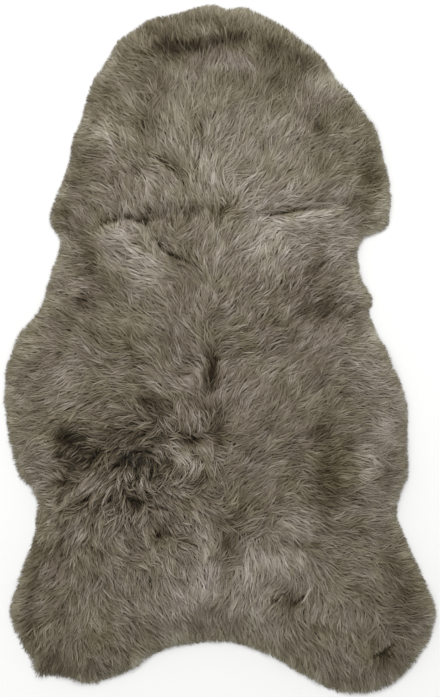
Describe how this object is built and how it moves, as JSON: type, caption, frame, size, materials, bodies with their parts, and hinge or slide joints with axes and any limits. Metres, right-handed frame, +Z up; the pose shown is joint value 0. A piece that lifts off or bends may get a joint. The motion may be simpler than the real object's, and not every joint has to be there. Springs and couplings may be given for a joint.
{
  "type": "sheepskin rug",
  "caption": "Whole sheepskin rug in taupe, one tanned skin with its combed wool on, that lies flat on a floor or over a seat.",
  "frame": {"origin": "on the floor, under the middle of the rug's box", "axes": "+Y along the back towards the head end, +X the right-hand side seen from above, +Z up out of the wool"},
  "size_m": [0.6288, 0.9998, 0.0511],
  "materials": {
    "wool": "taupe sheep's wool, combed, matt with a soft sheen, on a tanned skin"
  },
  "bodies": {
    "root": {"sheepskin": "wool"}
  },
  "joints": []
}
